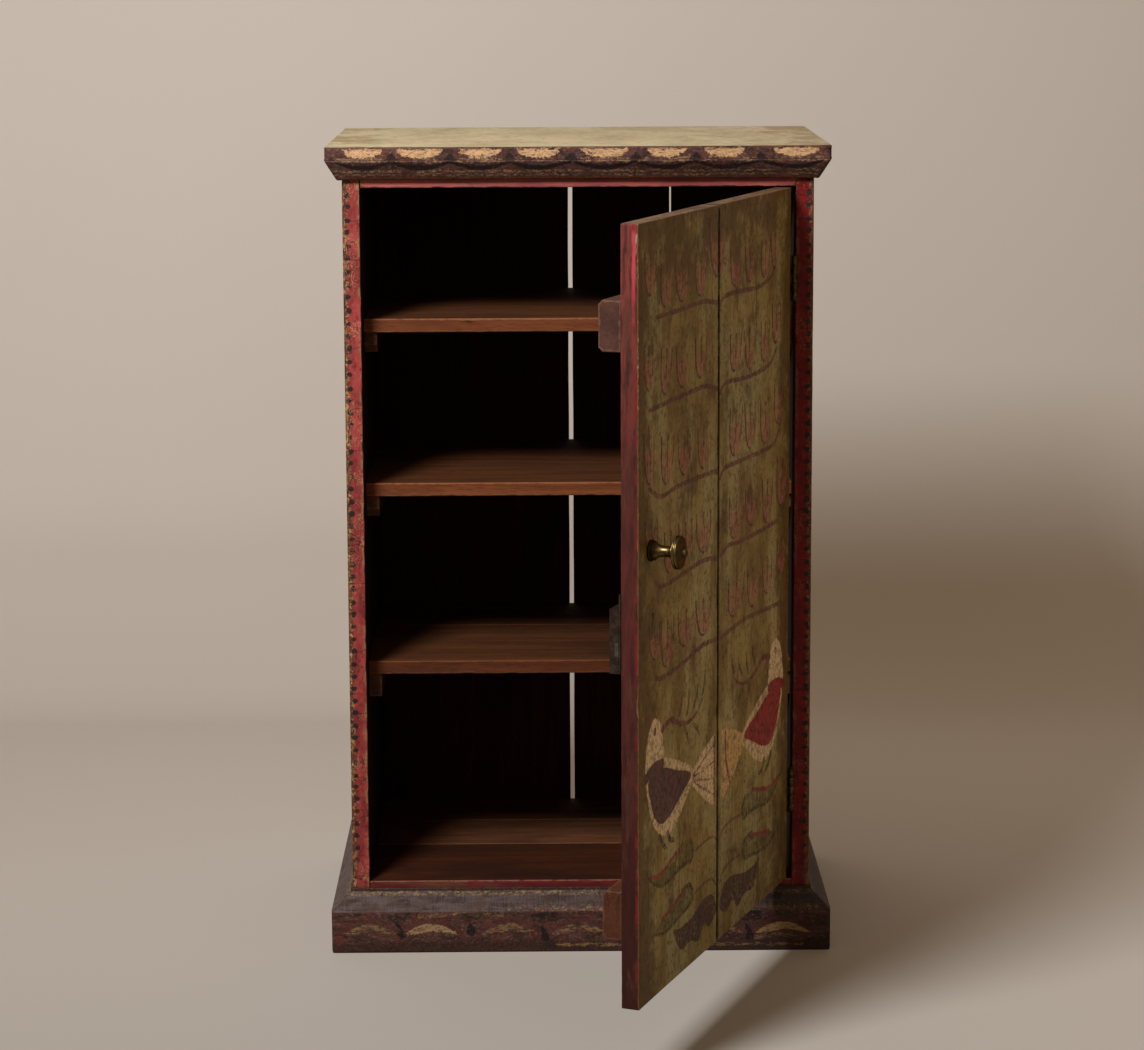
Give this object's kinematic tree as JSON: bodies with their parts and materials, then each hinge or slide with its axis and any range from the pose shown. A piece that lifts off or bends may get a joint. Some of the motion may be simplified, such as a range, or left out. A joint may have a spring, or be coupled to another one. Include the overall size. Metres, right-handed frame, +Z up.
{
  "type": "kas cupboard",
  "caption": "Small painted single-door cupboard with an open battened door, nailed shelves, chamfered cornice and plinth.",
  "frame": {"origin": "on the floor, under the middle of the front plinth board", "axes": "+Z up, +X to the viewer's right as the front is faced, +Y from the front to the back"},
  "size_m": [0.654, 0.9154, 1.053],
  "materials": {
    "case_paint": "worn red-brown paint",
    "trim_paint": "worn dark purple-brown paint with cream ornament",
    "top_paint": "pale olive-cream paint",
    "door_paint": "worn olive paint with painted tulips and birds",
    "shelf_wood": "bare brown boards",
    "bare_wood": "dark unpainted boards",
    "brass": "aged",
    "iron": "dark, worn"
  },
  "bodies": {
    "case": {"side_left": "case_paint", "side_right": "case_paint", "back_board_left": "bare_wood", "back_board_middle": "bare_wood", "back_board_right": "bare_wood", "top_rail": "case_paint", "top_board": "top_paint", "shelf_upper": "shelf_wood", "shelf_middle": "shelf_wood", "shelf_lower_front": "shelf_wood", "shelf_lower_back": "shelf_wood", "bottom_board_front": "shelf_wood", "bottom_board_middle": "shelf_wood", "bottom_board_back": "shelf_wood", "cleat_upper_left": "bare_wood", "cleat_middle_left": "bare_wood", "cleat_lower_left": "bare_wood", "cleat_upper_right": "bare_wood", "cleat_middle_right": "bare_wood", "cleat_lower_right": "bare_wood", "bearer_left": "bare_wood", "bearer_right": "bare_wood", "cornice_front": "trim_paint", "cornice_left": "trim_paint", "cornice_right": "trim_paint", "plinth_front": "trim_paint", "plinth_left": "trim_paint", "plinth_right": "trim_paint", "hinge_upper_case_leaf": "brass", "hinge_upper_pin": "brass", "hinge_lower_case_leaf": "brass", "hinge_lower_pin": "brass", "hinge_upper_case_screw_1": "iron", "hinge_upper_case_screw_2": "iron", "hinge_lower_case_screw_1": "iron", "hinge_lower_case_screw_2": "iron"},
    "door": {"door_board_free": "door_paint", "door_board_hinge": "door_paint", "batten_upper": "bare_wood", "batten_lower": "bare_wood", "knob": "brass", "knob_washer": "iron", "knob_nut": "iron", "lock_plate": "iron", "lock_case": "iron", "lock_key_pin": "iron", "lock_spring": "iron", "lock_screw_1": "iron", "lock_screw_2": "iron", "lock_screw_3": "iron", "lock_screw_4": "iron", "hinge_upper_door_leaf": "brass", "hinge_lower_door_leaf": "brass", "hinge_upper_door_screw_1": "iron", "hinge_upper_door_screw_2": "iron", "hinge_lower_door_screw_1": "iron", "hinge_lower_door_screw_2": "iron"},
    "lock_bolt": {"lock_bolt": "iron"}
  },
  "joints": [
    {"name": "door_swing", "type": "hinge", "parent": "case", "child": "door", "pos_m": [0.2755, 0.009, 0], "axis": [0, 0, 1], "range_deg": [-67.5, 102.5]},
    {"name": "bolt_slide", "type": "slide", "parent": "door", "child": "lock_bolt", "axis": [-0.3827, -0.9239, 0], "range_m": [0, 0.01]}
  ]
}
